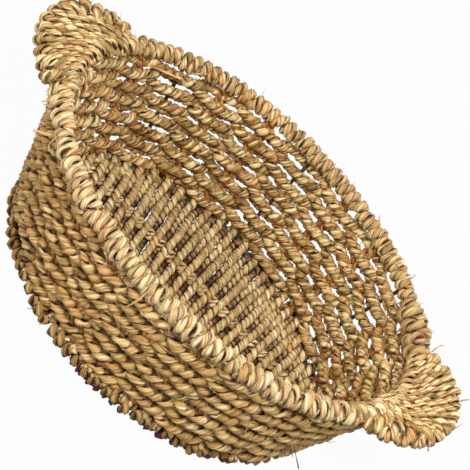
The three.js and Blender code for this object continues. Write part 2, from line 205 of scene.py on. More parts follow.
def swing(tree, vector, seed, scale):
    """Smooth noise that swings between about -1 and 1, and the same for three axes."""
    noise = add(tree, "ShaderNodeTexNoise",
                {"Vector": vector, "W": seed, "Scale": scale, "Detail": 1.0},
                noise_dimensions="4D")
    single = calc(tree, "SUBTRACT", noise["Fac"], 0.5)
    triple = vector_calc(tree, "SUBTRACT", noise["Color"], (0.5, 0.5, 0.5))
    return calc(tree, "MULTIPLY", single, SWING_GAIN), scaled(tree, triple, SWING_GAIN)


def moved(tree, shape, offset):
    return add(tree, "GeometryNodeSetPosition",
               {"Geometry": shape, "Offset": offset})[0]


wander = scaled(lay, swing(lay, place, get["Seed"], WANDER_SCALE)[1], get["Wander"])
line = moved(lay, even[0], wander)
copies = add(lay, "GeometryNodeDuplicateElements",
             {"Geometry": line, "Amount": get["Plies"]}, domain="SPLINE")
print("sizes of a cord:", len(CORD_SOCKETS))

# %% [markdown]
# Each copy is pushed out from the line by an angle that grows with the length, so that the
# copies turn round each other. The turns are a whole number, which lets a closed row meet
# itself, and noise makes them slip a little, as in cord laid by hand.
#
# Some facts about each place are kept for later, because they can't be read off the finished
# mesh: the way out of the cord, the length along the ply, whether the ply faces the middle of
# the basket, and how far it is from facing straight in or out.

# %% Turn the plies round each other
SLIP_SCALE = 60
PLY_OFFSET = 3.7
SEED_OFFSET = 0.61

share = add(lay, "GeometryNodeSplineParameter")["Factor"]
length = add(lay, "GeometryNodeSplineLength")["Length"]
turns = calc(lay, "ROUND", calc(lay, "DIVIDE", length, get["Lay Length"]))
phase = calc(lay, "DIVIDE", copies["Duplicate Index"], get["Plies"])
phase = calc(lay, "ADD", phase, get["Lay Start"])
place_x = add(lay, "ShaderNodeSeparateXYZ", {0: place})[0]
phase = calc(lay, "SUBTRACT", phase, calc(lay, "MULTIPLY", place_x, get["Lay Drift"]))
angle = calc(lay, "MULTIPLY_ADD", turns, share, phase)
slip = calc(lay, "MULTIPLY", swing(lay, place, get["Seed"], SLIP_SCALE)[0], get["Lay Slip"])
angle = calc(lay, "MULTIPLY_ADD", angle, -math.tau, slip)
normal = add(lay, "GeometryNodeInputNormal")["Normal"]
tangent = add(lay, "GeometryNodeInputTangent")[0]
sideways = vector_calc(lay, "CROSS_PRODUCT", tangent, normal)
lift = scaled(lay, normal, calc(lay, "COSINE", angle))
shift = scaled(lay, sideways, calc(lay, "SINE", angle))
outward = vector_calc(lay, "ADD", lift, shift)
pressed = vector_calc(lay, "ADD", scaled(lay, lift, get["Press"]), shift)


def dot_product(a, b):
    return add(lay, "ShaderNodeVectorMath", {0: a, 1: b}, operation="DOT_PRODUCT")["Value"]


def facing(way):
    """How squarely the ply faces one way or its opposite."""
    return calc(lay, "ABSOLUTE", dot_product(outward, way))


# These say where the painted shade goes: how far the ply turns aside towards a neighbouring cord,
# and whether it faces the middle of the basket.
level_way = vector_calc(lay, "NORMALIZE", vector_calc(lay, "CROSS_PRODUCT", tangent, tuple(UP)))
from_middle = vector_calc(lay, "NORMALIZE", vector_calc(lay, "MULTIPLY", place, (1, 1, 0)))
inside = calc(lay, "LESS_THAN", dot_product(outward, from_middle), 0.0)
aside = add(lay, "ShaderNodeMix", {0: get["Level"], 2: facing(level_way), 3: facing(tuple(UP))})
along = calc(lay, "MULTIPLY", share, length)
along = calc(lay, "MULTIPLY_ADD", copies["Duplicate Index"], PLY_OFFSET, along)
along = calc(lay, "MULTIPLY_ADD", get["Seed"], SEED_OFFSET, along)


def captured(tree, shape, **fields):
    """Keeps values on a shape, and gives back the sockets of the shape and the values."""
    node = tree.nodes.new("GeometryNodeCaptureAttribute")
    fill(tree, node, {"Geometry": shape})
    for label, (kind, value) in fields.items():
        node.capture_items.new(kind, label)
        tree.links.new(value, node.inputs[label])
    return node.outputs


kept = captured(lay, copies[0], Outward=("VECTOR", outward), Pressed=("VECTOR", pressed),
                Along=("FLOAT", along), Aside=("FLOAT", aside[0]),
                Inside=("FLOAT", inside))
print("nodes up to the turning plies:", len(lay.nodes))

# %% [markdown]
# A flattened ring swept along each copy, with its short axis facing out of the cord, gives the
# ply its body. The tree then leaves four attributes. "strand" says where a point lies round and
# along its ply, so that fibres can run with it. "relief" says how much painted shade a point
# gets: it is 1 on the outside of the cord and 0 deep in the groove between plies, where the
# material paints the shade of the groove. It also drops where a ply dives between its cord and
# the next: above and below a level cord, or at the sides of one that goes up, over and down.
# That drop is painted shade from the neighbouring cord. Side Shade sets it, and Inner Shade adds
# more on the side that faces the middle of the basket.
# next: above and below a level cord, or at the sides of one that goes up, over and down.
# "inner" is 1 on the side that faces the middle of the basket, and "lie" is the way that the
# ply runs. Fine ridges along the ply come last.

# %% Give the plies their body and their marks
UNEVEN_SCALE = 110
RIDGE_STRETCH = (1.6, 1.6, 40)
RING_WIDTH = 1.08
DIVE_STARTS = 0.6


def combined(tree, x=0.0, y=0.0, z=0.0):
    return add(tree, "ShaderNodeCombineXYZ", {0: x, 1: y, 2: z})[0]


def stored(tree, shape, name, value, data_type="FLOAT"):
    """Writes a value on the shape's points under a name that can be read later."""
    return add(tree, "GeometryNodeStoreNamedAttribute",
               {"Geometry": shape, "Name": name, "Value": value},
               data_type=data_type, domain="POINT")[0]


def facing_out(tree, line, way):
    """Turns the sides of a line to face one way, so that a section swept along it does too."""
    return add(tree, "GeometryNodeSetCurveNormal", {"Curve": line, "Normal": way},
               mode="FREE")[0]


def swept(tree, line, section, scale):
    return add(tree, "GeometryNodeCurveToMesh",
               {"Curve": line, "Profile Curve": section, "Scale": scale,
                "Fill Caps": True})[0]


def ramp(tree, value, low, high, to_low=0.0, to_high=1.0):
    """Runs smoothly from one value to another while the given value runs from low to high."""
    return add(tree, "ShaderNodeMapRange", {0: value, 1: low, 2: high, 3: to_low, 4: to_high},
               interpolation_type="SMOOTHSTEP")[0]


half = calc(lay, "MULTIPLY", get["Diameter"], 0.5)
ply_radius = calc(lay, "MULTIPLY", half, get["Ply Share"])
reach = calc(lay, "SUBTRACT", half, calc(lay, "MULTIPLY", ply_radius, get["Flatness"]))
spread = moved(lay, kept["Geometry"], scaled(lay, kept["Pressed"], reach))
run_way = add(lay, "GeometryNodeInputTangent")[0]
lie = captured(lay, facing_out(lay, spread, kept["Outward"]), Lie=("VECTOR", run_way))

uneven = swing(lay, combined(lay, kept["Along"]), get["Seed"], UNEVEN_SCALE)[0]
thickness = calc(lay, "MULTIPLY_ADD", uneven, get["Unevenness"], 1.0)

ring = add(lay, "GeometryNodeCurvePrimitiveCircle",
           {"Resolution": get["Ply Sides"], "Radius": ply_radius})
flat = combined(lay, get["Flatness"], RING_WIDTH, 1.0)
section = add(lay, "GeometryNodeTransform", {"Geometry": ring[0], "Scale": flat})
round_share = add(lay, "GeometryNodeSplineParameter")["Factor"]
round_ply = captured(lay, section[0],
                     Around=("FLOAT", calc(lay, "MULTIPLY", round_share, math.tau)))
body = swept(lay, lie["Geometry"], round_ply["Geometry"], thickness)

round_cos = calc(lay, "COSINE", round_ply["Around"])
strand = combined(lay, round_cos, calc(lay, "SINE", round_ply["Around"]), kept["Along"])
# Painted shade: relief drops where the ply turns aside towards a neighbouring cord, more so on
# the side that faces the middle of the basket.
sunk = ramp(lay, kept["Aside"], DIVE_STARTS, 1.0)
shade_there = calc(lay, "MULTIPLY_ADD", kept["Inside"], get["Inner Shade"], get["Side Shade"])
bright = calc(lay, "SUBTRACT", 1.0, calc(lay, "MULTIPLY", sunk, shade_there))
relief = calc(lay, "MULTIPLY", calc(lay, "MULTIPLY_ADD", round_cos, 0.5, 0.5), bright)
marked = stored(lay, body, "strand", strand, "FLOAT_VECTOR")
marked = stored(lay, marked, "relief", relief)
marked = stored(lay, marked, "inner", kept["Inside"])
marked = stored(lay, marked, "lie", lie["Lie"], "FLOAT_VECTOR")

ridge_at = vector_calc(lay, "MULTIPLY", strand, RIDGE_STRETCH)
ridge = calc(lay, "MULTIPLY", swing(lay, ridge_at, 0.0, 1.0)[0], get["Ridges"])
face_way = add(lay, "GeometryNodeInputNormal")["Normal"]
ridged = moved(lay, marked, scaled(lay, face_way, ridge))
soft = add(lay, "GeometryNodeSetShadeSmooth", {"Geometry": ridged})
fill(lay, result, {0: soft[0]})
print("nodes in the ply tree:", len(lay.nodes))

# %% [markdown]
# ## Loose straws
#
# Seagrass sheds thin straws that spring out of the cord at one end. They are what keeps the
# outline from looking machined. Points are scattered over the finished cord, and a thin tapered
# blade is put on each, along the way that the ply runs there and turned up a little.

# %% The tree that scatters straws
STRAW_SEGMENTS = 5
STRAW_RADIUS = 0.28 * MM
STRAW_SPREAD = math.radians(28)
STRAW_LIFT = math.radians(16)
STRAW_BOW, STRAW_RISE = 0.05, 0.09
STRAW_TAPER = 0.8
LEAST_STRAW, MOST_STRAW = (0.35, 0.6, 0.4), (1.0, 1.3, 1.5)
SEEDS_APART = 10.0
TILT_SEED, SIZE_SEED = 3, 5

shed, get, result = new_group(
    "Shed straws", "GeometryNodeTree",
    [("Cord", SHAPE, None), ("Straws", FLOAT, 1500.0), ("Straw Length", FLOAT, 14 * MM),
     ("Seed", FLOAT, 0.0)], [("Mesh", SHAPE)])
whole_seed = add(shed, "FunctionNodeFloatToInt",
                 {0: calc(shed, "MULTIPLY", get["Seed"], SEEDS_APART)})
spots = add(shed, "GeometryNodeDistributePointsOnFaces",
            {"Mesh": get["Cord"], "Density": get["Straws"], "Seed": whole_seed[0]})
run_way = add(shed, "GeometryNodeInputNamedAttribute", {"Name": "lie"},
              data_type="FLOAT_VECTOR")
stance = add(shed, "FunctionNodeAxesToRotation",
             {"Primary Axis": spots["Normal"], "Secondary Axis": run_way[0]},
             primary_axis="Z", secondary_axis="X")
tilt = add(shed, "FunctionNodeRandomValue",
           {0: (0, -STRAW_LIFT, -STRAW_SPREAD), 1: (0, 0, STRAW_SPREAD), "Seed": TILT_SEED},
           data_type="FLOAT_VECTOR")[0]
tilt = add(shed, "FunctionNodeEulerToRotation", {0: tilt})[0]
stance = add(shed, "FunctionNodeRotateRotation", {0: stance[0], 1: tilt},
             rotation_space="LOCAL")
size = add(shed, "FunctionNodeRandomValue", {0: LEAST_STRAW, 1: MOST_STRAW, "Seed": SIZE_SEED},
           data_type="FLOAT_VECTOR")[0]
# The straws' points get relief 1, so no painted groove shade falls on the straws.
shone = stored(shed, spots["Points"], "relief", 1.0)
tip = combined(shed, get["Straw Length"])
bent = combined(shed, 0.0, calc(shed, "MULTIPLY", get["Straw Length"], STRAW_BOW),
                calc(shed, "MULTIPLY", get["Straw Length"], STRAW_RISE))
bow = vector_calc(shed, "MULTIPLY_ADD", tip, (0.5, 0.5, 0.5), bent)
blade_line = add(shed, "GeometryNodeCurveQuadraticBezier",
                 {"Resolution": STRAW_SEGMENTS, "Start": (0, 0, 0), "Middle": bow, "End": tip})
blade_ring = add(shed, "GeometryNodeCurvePrimitiveCircle",
                 {"Resolution": 3, "Radius": STRAW_RADIUS})
run = add(shed, "GeometryNodeSplineParameter")["Factor"]
taper = calc(shed, "MULTIPLY", calc(shed, "MULTIPLY", run, run), STRAW_TAPER)
taper = calc(shed, "SUBTRACT", 1.0, taper)
straw_blade = swept(shed, blade_line[0], blade_ring[0], taper)
blades = add(shed, "GeometryNodeInstanceOnPoints",
             {"Points": shone, "Instance": straw_blade,
              "Rotation": stance[0], "Scale": size})
loose = add(shed, "GeometryNodeRealizeInstances", {"Geometry": blades[0]})
both = shed.nodes.new("GeometryNodeJoinGeometry")
for part in (loose[0], get["Cord"]):
    fill(shed, both, {0: part})
fill(shed, result, {0: both.outputs[0]})
print("nodes in the straw tree:", len(shed.nodes))

# %% [markdown]
# Two more trees use these. One lays a cord straight along a drawn line. The other first winds
# the line into turns round a wire, which is how the rim is made: the wire's line is resampled to
# a number of steps per turn, and each step is pushed out sideways or upwards in its turn.

# %% The two trees that the pieces use
def cord_tree(name, wound):
    extra = []
    if wound:
        extra = [("Turns", FLOAT, 40.0), ("Turn Radius", FLOAT, 5 * MM), ("Start", FLOAT, 0.0),
                 ("Slip", FLOAT, 0.6 * MM)]
    tree, get, result = new_group(name, "GeometryNodeTree",
                                  [("Line", SHAPE, None)] + CORD_SOCKETS + extra,
                                  [("Mesh", SHAPE)])
    curve = add(tree, "GeometryNodeMeshToCurve", {"Mesh": get["Line"]})[0]
    if wound:
        curve = wind(tree, get, curve)
    cord_sizes = {label: get[label] for label, _, _ in CORD_SOCKETS}
    body = add(tree, "GeometryNodeGroup", {"Curve": curve, **cord_sizes}, node_tree=lay)
    straw_sizes = {label: get[label] for label in ("Straws", "Straw Length", "Seed")}
    fuzzy = add(tree, "GeometryNodeGroup", {"Cord": body[0], **straw_sizes},
                node_tree=shed)
    real = add(tree, "GeometryNodeRealizeInstances", {"Geometry": fuzzy[0]})
    done = add(tree, "GeometryNodeSetMaterial",
               {"Geometry": real[0], "Material": get["Material"]})
    fill(tree, result, {0: done[0]})
    return tree


STEPS_PER_TURN = 12
TURN_SLIP_SCALE = 0.7
SWELL_SHARE = 0.3


def wind(tree, get, curve):
    """Winds the curve into turns round itself, with each turn slipped a little along it."""
    count = calc(tree, "MULTIPLY_ADD", get["Turns"], STEPS_PER_TURN, 1.0)
    fine = add(tree, "GeometryNodeResampleCurve", {"Curve": curve, "Count": count},
               mode="COUNT")
    level = add(tree, "GeometryNodeSetCurveNormal", {"Curve": fine[0]}, mode="Z_UP")
    normal = add(tree, "GeometryNodeInputNormal")["Normal"]
    tangent = add(tree, "GeometryNodeInputTangent")[0]
    upward = vector_calc(tree, "CROSS_PRODUCT", tangent, normal)
    share = add(tree, "GeometryNodeSplineParameter")["Factor"]
    angle = calc(tree, "MULTIPLY_ADD", share, get["Turns"], get["Start"])
    angle = calc(tree, "MULTIPLY", angle, math.tau)
    rising = calc(tree, "SINE", calc(tree, "MULTIPLY", angle, -1.0))
    radial = vector_calc(tree, "ADD", scaled(tree, normal, calc(tree, "COSINE", angle)),
                         scaled(tree, upward, rising))
    kept = captured(tree, level[0], Radial=("VECTOR", radial))
    at = combined(tree, calc(tree, "MULTIPLY", share, get["Turns"]))
    drift, sway = swing(tree, at, get["Seed"], TURN_SLIP_SCALE)
    swell = add(tree, "ShaderNodeSeparateXYZ", {0: sway})[2]
    reach = calc(tree, "MULTIPLY_ADD", calc(tree, "MULTIPLY", swell, SWELL_SHARE), get["Slip"],
                 get["Turn Radius"])
    offset = vector_calc(tree, "ADD", scaled(tree, kept["Radial"], reach),
                         scaled(tree, tangent, calc(tree, "MULTIPLY", drift, get["Slip"])))
    return facing_out(tree, moved(tree, kept["Geometry"], offset), kept["Radial"])


laid_tree = cord_tree("Cord along a line", wound=False)
wound_tree = cord_tree("Cord wound on a wire", wound=True)
print("nodes in the trees:", len(laid_tree.nodes), "laid,", len(wound_tree.nodes), "wound")

# %% [markdown]
# A piece of cord starts as an object that holds nothing but its line. The tree runs on it, and
# the result becomes the object's own mesh. The piece then rides on the basket's one body, and
# stands for the CAD nodes that it replaces.

# %% From a line to a piece of cord
def line_object(name, lines, closed=False):
    points, edges = [], []
    for line in lines:
        first = len(points)
        points += line
        edges += [(i, i + 1) for i in range(first, len(points) - 1)]
        if closed:
            edges.append((len(points) - 1, first))
    mesh = bpy.data.meshes.new(name)
    mesh.from_pydata(points, edges, [])
    thing = bpy.data.objects.new(name, mesh)
    scene.collection.objects.link(thing)
    return thing


def run_tree(thing, tree, sizes):
    """Runs a geometry tree on an object and leaves its result as the object's plain mesh."""
    modifier = thing.modifiers.new("Cord", "NODES")
    modifier.node_group = tree
    for item in tree.interface.items_tree:
        if item.item_type == "SOCKET" and item.in_out == "INPUT" and item.name in sizes:
            modifier[item.identifier] = sizes[item.name]
    depsgraph = bpy.context.evaluated_depsgraph_get()
    mesh = bpy.data.meshes.new_from_object(thing.evaluated_get(depsgraph))
    thing.modifiers.clear()
    thing.data = mesh
    mesh.name = thing.name
    return thing


def cord(name, lines, material, slot, nodes, closed=False, tree=laid_tree, **sizes):
    settings = {key.replace("_", " ").title(): value for key, value in sizes.items()}
    settings["Material"] = material
    piece = run_tree(line_object(name, lines, closed), tree, settings)
    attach(piece, "root")
    if nodes:
        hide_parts(*nodes)
    return piece


def triangle_count(piece):
    return sum(len(p.vertices) - 2 for p in piece.data.polygons)


def line_length(points):
    return sum((b - a).length for a, b in zip(points, points[1:]))


def wound_cord(name, line, pitch, material, slot, nodes, **sizes):
    """A cord wound round a line, in as many whole turns as come nearest to the pitch."""
    turns = round(line_length(line) / pitch)
    print(name, "turns:", turns)
    cord(name, [line], material, slot, nodes, tree=wound_tree, turns=float(turns), **sizes)


print("settings of a wound cord:", sum(item.in_out == "INPUT" for item in
                                       wound_tree.interface.items_tree))

# %% [markdown]
# ## The finish of seagrass
#
# Dried seagrass is straw-coloured, with darker and greener stretches, and splits into fibres
# that catch the light one by one. A picture could be wrapped round the cords, but streaks that
# follow "strand" cost nothing and run along every ply, however it turns. One shader group makes
# the streaks, the slow changes of colour, the shadow in the grooves and the height for the bump.

# %% The group that colours seagrass
SCREEN_GAMMA = 2.2


def tint(red, green, blue):
    """A colour given as it looks on a screen, from 0 to 255, made linear for the shader."""
    return tuple((c / 255) ** SCREEN_GAMMA for c in (red, green, blue)) + (1.0,)


RUSSET = tint(250, 205, 150)
GREENISH = tint(214, 226, 190)
# Painted shade: this dark brown is multiplied in where the grooves between plies and the creases
# between blades would be in shade.
GROOVE_SHADE = tint(88, 52, 26)
DARK_TO_MIDDLE, MIDDLE_TO_LIGHT = (0.30, 0.50), (0.50, 0.68)
RUSSET_PATCHES, GREEN_PATCHES, PATCH_STRENGTH = (0.56, 0.72), (0.46, 0.33), 0.6
GROOVE_STARTS, GROOVE_DEEPEST = 0.74, 0.16
CREASE_AT, CREASE_WIDTH, CREASE_STRENGTH, CREASE_DEPTH = 0.47, 0.034, 0.65, 0.35
FIBRE_SHARE, BLADE_SHARE, TONE_SHARE, FIBRE_HEIGHT = 0.4, 0.6, 0.35, 0.5
FIBRE_ROUGHNESS = (0.3, 0.7, 0.78, 0.5)

grass, get, result = new_group(
    "Seagrass strands", "ShaderNodeTree",
    [("Strand", VECTOR, None), ("Relief", FLOAT, 1.0), ("Dark", COLOUR, None),
     ("Middle", COLOUR, None), ("Light", COLOUR, None), ("Contrast", FLOAT, 1.0)],
    [("Color", COLOUR), ("Roughness", FLOAT), ("Height", FLOAT)],
)


def streaks(around, along, detail):
    """Noise drawn out along the ply."""
    vector = vector_calc(grass, "MULTIPLY", get["Strand"], (around, around, along))
    return add(grass, "ShaderNodeTexNoise",
               {"Vector": vector, "Scale": 1.0, "Detail": detail})[0]


def mixed(tree, factor, a, b, blend="MIX"):
    return add(tree, "ShaderNodeMix", {0: factor, 6: a, 7: b}, data_type="RGBA",
               blend_type=blend)[2]


blade = streaks(around=1.1, along=45, detail=1.0)
fibre = streaks(around=4.5, along=190, detail=3.0)
tone = streaks(around=0.0, along=21, detail=1.0)
patch = streaks(around=0.5, along=9, detail=1.0)
lively = calc(grass, "MULTIPLY", blade, BLADE_SHARE)
lively = calc(grass, "MULTIPLY_ADD", fibre, FIBRE_SHARE, lively)
lively = calc(grass, "MULTIPLY_ADD", calc(grass, "SUBTRACT", tone, 0.5), TONE_SHARE, lively)
lively = calc(grass, "MULTIPLY", calc(grass, "SUBTRACT", lively, 0.5), get["Contrast"])
lively = calc(grass, "ADD", lively, 0.5)
colour = mixed(grass, ramp(grass, lively, *DARK_TO_MIDDLE), get["Dark"], get["Middle"])
colour = mixed(grass, ramp(grass, lively, *MIDDLE_TO_LIGHT), colour, get["Light"])
# The crease between blades is a real dent in the bump height, and its darkening is painted shade.
edge = calc(grass, "ABSOLUTE", calc(grass, "SUBTRACT", blade, CREASE_AT))
crease = ramp(grass, edge, CREASE_WIDTH, 0.0, 0.0, CREASE_STRENGTH)
# Russet and greenish patches are stains of the grass itself; the groove and crease marks are
# painted shade.
for amount, stain in (
    (ramp(grass, patch, *RUSSET_PATCHES, 0.0, PATCH_STRENGTH), RUSSET),
    (ramp(grass, patch, *GREEN_PATCHES, 0.0, PATCH_STRENGTH), GREENISH),
    (ramp(grass, get["Relief"], GROOVE_STARTS, GROOVE_DEEPEST), GROOVE_SHADE),
    (crease, GROOVE_SHADE),
):
    colour = mixed(grass, amount, colour, stain, "MULTIPLY")
height = calc(grass, "MULTIPLY_ADD", fibre, FIBRE_HEIGHT, blade)
height = calc(grass, "SUBTRACT", height, calc(grass, "MULTIPLY", crease, CREASE_DEPTH))
fill(grass, result, {"Color": colour, "Roughness": ramp(grass, fibre, *FIBRE_ROUGHNESS),
                     "Height": height})
print("nodes in the seagrass group:", len(grass.nodes))

# %% [markdown]
# Each kind of cord then has a material with its own three colours. On the inside of the basket
# the wall gets more painted light and shade: stronger streaks and deeper painted groove shade.
# The floor's cord gets painted shade towards its underside.

# %% A material for each kind of cord
def new_material(name):
    material = bpy.data.materials.new(name)
    material.use_nodes = True
    tree = material.node_tree
    return material, tree, tree.nodes["Principled BSDF"]


def read(tree, name, output):
    """An attribute that the ply tree has left on the mesh."""
    return add(tree, "ShaderNodeAttribute", attribute_name=name)[output]


def bumped(tree, height, strength, distance):
    return add(tree, "ShaderNodeBump",
               {"Height": height, "Strength": strength, "Distance": distance})[0]


def seagrass(name, dark, middle, light, contrast=(1.0, 1.0), depth=(1.0, 1.0), shade=None,
             grooved=True):
    """One kind of cord, with painted shade in its grooves. Contrast and the depth of the painted
    groove shade each have a value for the outside of the basket and one for the inside, so the
    inside gets more painted light and shade. Between the two heights of shade it gets painted
    shade, darker lower down. Without grooves it gets no painted groove shade."""
    material, tree, shader = new_material(name)
    relief, inner = read(tree, "relief", "Fac"), read(tree, "inner", "Fac")
    # Painted shade towards the underside: the lower the point, the less relief.
    if shade:
        where = add(tree, "ShaderNodeTexCoord")["Object"]
        height = add(tree, "ShaderNodeSeparateXYZ", {0: where})[2]
        relief = calc(tree, "MULTIPLY", relief, ramp(tree, height, *shade))
    # Painted groove shade, deeper on the side that faces the middle of the basket.
    sunk = calc(tree, "SUBTRACT", 1.0, relief)
    sunk = calc(tree, "MULTIPLY", sunk, ramp(tree, inner, 0.0, 1.0, *depth))
    relief = calc(tree, "SUBTRACT", 1.0, sunk) if grooved else 1.0
    # The streak contrast is stronger on the inside of the basket, as painted light and shade.
    group = add(tree, "ShaderNodeGroup", {
        "Strand": read(tree, "strand", "Vector"), "Relief": relief, "Dark": tint(*dark),
        "Middle": tint(*middle), "Light": tint(*light),
        "Contrast": ramp(tree, inner, 0.0, 1.0, *contrast),
    }, node_tree=grass)
    fill(tree, shader, {"Base Color": group["Color"], "Roughness": group["Roughness"],
                        "Normal": bumped(tree, group["Height"], strength=0.7,
                                         distance=0.5 * MM), "Specular IOR Level": 0.3})
    return material


# Painted light and shade on the wall's inner side: stronger streak contrast and deeper painted
# groove shade.
wall_finish = seagrass("wall_seagrass", (114, 74, 38), (194, 154, 96), (238, 216, 164),
                       contrast=(0.85, 1.55), depth=(0.8, 1.08))
stake_finish = seagrass("stake_seagrass", (108, 66, 32), (172, 118, 64), (210, 166, 106))
near_rim_finish = seagrass("near_rim_seagrass", (150, 112, 66), (222, 191, 140),
                           (242, 227, 188), contrast=(1.15, 1.15))
far_rim_finish = seagrass("far_rim_seagrass", (124, 86, 46), (202, 166, 112), (240, 218, 172))
handle_finish = seagrass("handle_seagrass", (112, 74, 38), (202, 166, 108), (246, 224, 174),
                         contrast=(1.35, 1.35))
# Painted shade on the floor lacing, from 12 mm height down to its darkest at 4 mm.
floor_finish = seagrass("floor_seagrass", (130, 90, 48), (220, 188, 132), (252, 234, 190),
                        shade=(4.0 * MM, 12.0 * MM))
# The hoops' browns are partly their own colour and partly painted shade, darker for where they
# lie under the wall's first row.
base_colour_and_shade = seagrass("base_seagrass", (92, 58, 28), (164, 124, 72), (212, 178, 122))
print("cord finishes: wall, stake, near and far rim, handle, floor, base")

# %% [markdown]
# ## The wires
#
# The frame shows only where an upright crosses a gap and at the rim's joints. It is dark coated
# steel. The CAD wires are right as they are, so they only get a finish: nearly black, half dull,
# with slight mottling where the coating is thin.

# %% Coated wire
COATING, WORN_COATING = tint(34, 30, 28), tint(74, 66, 60)
MOTTLE_SCALE = 420.0
WEAR, WIRE_ROUGHNESS = (0.35, 0.75), (0.3, 0.7, 0.38, 0.62)
WIRE_NODES = [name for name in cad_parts
              if name.endswith("_ring") or name.endswith("_loop") or name.startswith("wire_")]

wire_finish, tree, shader = new_material("coated_wire")
where = add(tree, "ShaderNodeTexCoord")["Object"]
mottle = add(tree, "ShaderNodeTexNoise",
             {"Vector": where, "Scale": MOTTLE_SCALE, "Detail": 3.0})[0]
worn = ramp(tree, mottle, *WEAR)
fill(tree, shader, {"Base Color": mixed(tree, worn, COATING, WORN_COATING),
                    "Roughness": ramp(tree, mottle, *WIRE_ROUGHNESS),
                    "Normal": bumped(tree, mottle, strength=0.3, distance=0.2 * MM)})
for name in WIRE_NODES:
    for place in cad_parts[name].material_slots:
        place.material = wire_finish
print("wires finished:", len(WIRE_NODES))

# %% [markdown]
# ## The shape of the frame
#
# Every cord hangs on the same frame: an ellipse that widens evenly from the base ring to the rim
# ring, and twenty-four stakes round it. Every third stake is a steel upright and the others are
# doubled cord. These are the measures of the CAD model.

# %% Outline and stakes
WIRE_RADIUS = 1.75 * MM
SEAT_GAP = 0.3 * MM
ON_WIRE = WIRE_RADIUS + SEAT_GAP
RIM_HALF = (169 * MM, 115.5 * MM)
BASE_HALF = (141.5 * MM, 104.5 * MM)
BASE_Z = sum(corner.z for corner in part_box("base_ring")) / 2
RIM_Z = sum(corner.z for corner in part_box("rim_ring")) / 2
UPRIGHT_X = (96.1 * MM, -3.1 * MM, -102.3 * MM)
STAKES_PER_BAY = 3


def mix(a, b, share):
    return a + (b - a) * share


def outline(angle, z):
    """The place on the basket's outline, and the ways out of it and along it."""
    share = (z - BASE_Z) / (RIM_Z - BASE_Z)
    a = mix(BASE_HALF[0], RIM_HALF[0], share)
    b = mix(BASE_HALF[1], RIM_HALF[1], share)
    c, s = math.cos(angle), math.sin(angle)
    return (Vector((a * c, b * s, z)), Vector((b * c, a * s, 0)).normalized(),
            Vector((-a * s, b * c, 0)).normalized())


def stake_angles():
    """Angles of all stakes round the basket, from the two ends and the uprights between them."""
    uprights = [0.0] + [math.acos(x / BASE_HALF[0]) for x in UPRIGHT_X] + [math.pi]
    half = [mix(uprights[bay], uprights[bay + 1], i / STAKES_PER_BAY)
            for bay in range(len(uprights) - 1) for i in range(STAKES_PER_BAY)]
    return half + [angle + math.pi for angle in half]


STAKES = stake_angles()


def is_upright(k):
    return k % STAKES_PER_BAY == 0


print("rim ring at", round(RIM_Z / MM, 1), "mm, base ring at", round(BASE_Z / MM, 1), "mm")

# %% [markdown]
# ## The woven wall
#
# Thirteen rows of single cord go round the basket, each outside one stake and inside the next,
# and each row does the opposite of the one below. A row is a closed line that swings out and in,
# and the ply tree turns it into cord. The lean of the plies, up to the right as seen from the
# front, is the same in every row because it is the same cord. It is laid tighter along the back
# than along the front, which a drift of so many turns for each metre of X does smoothly.

# %% Wall rows
ROW_COUNT = sum(name.startswith("wall_row_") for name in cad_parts)
ROW_CORD = 8.6 * MM
ROW_LAY_DRIFT = 11.5
ROW_OFFSET = 2.6 * MM
FLOAT_SHARES = (-0.37, -0.14, 0.14, 0.37)
NEAR_STAKE = 0.2
FLOAT_SAG = 0.5 * MM


def row_height(name):
    low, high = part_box(name)
    return (low.z + high.z) / 2


def row_line(row, z):
    points = []
    for k, angle in enumerate(STAKES):
        side = 1 if (k + row) % 2 == 0 else -1
        before = (angle - STAKES[k - 1]) % math.tau
        after = (STAKES[(k + 1) % len(STAKES)] - angle) % math.tau
        for share in FLOAT_SHARES:
            at = angle + share * (after if share > 0 else before)
            sag = FLOAT_SAG * (1 if abs(share) > NEAR_STAKE else -1)
            point, out, _ = outline(at, z + sag)
            points.append(point + out * side * ROW_OFFSET)
    return points


wall_pieces = []
for row in range(ROW_COUNT):
    node = f"wall_row_{row + 1:02d}"
    line = row_line(row, row_height(node))
    wall_pieces.append(cord(f"wall_cord_{row + 1:02d}", [line], wall_finish, "wall_cord", [node],
                            closed=True, diameter=ROW_CORD, seed=float(row), wander=1.4 * MM,
                            lay_length=15.5 * MM, lay_drift=ROW_LAY_DRIFT, ply_share=0.62,
                            unevenness=0.36, level=1.0, side_shade=0.1,
                            inner_shade=0.45, ridges=0.9 * MM))
print("wall rows:", len(wall_pieces), "triangles in one:", triangle_count(wall_pieces[0]))

# %% [markdown]
# ## The cord stakes
#
# Between two uprights the stakes are cord doubled back on itself, browner than the rows because
# it lies in the weave's shade. Each is a hairpin with its bend low down at the floor, and its two
# legs run up into the rim winding.

# %% Cord stakes
STAKE_CORD = 5.6 * MM
LEG_SPREAD = 2.35 * MM
STAKE_FOOT = 9.0 * MM
STAKE_HEAD = 4.0 * MM
LEG_SHARES = (0.12, 0.4, 0.7, 1.0)
STAKE_SEED = 20.0
BEND_OUT, BEND_DOWN = 0.8, 0.5


def stake_line(angle):
    foot, _, along = outline(angle, BASE_Z)
    head, _, _ = outline(angle, RIM_Z)
    way = (head - foot).normalized()
    top, bottom = head - way * STAKE_HEAD, foot + way * STAKE_FOOT
    up_leg = [bottom.lerp(top, share) for share in LEG_SHARES]
    left = [p - along * LEG_SPREAD for p in reversed(up_leg)]
    bend = [bottom - along * LEG_SPREAD * BEND_OUT, bottom - way * LEG_SPREAD * BEND_DOWN,
            bottom + along * LEG_SPREAD * BEND_OUT]
    return left + bend + [p + along * LEG_SPREAD for p in up_leg]


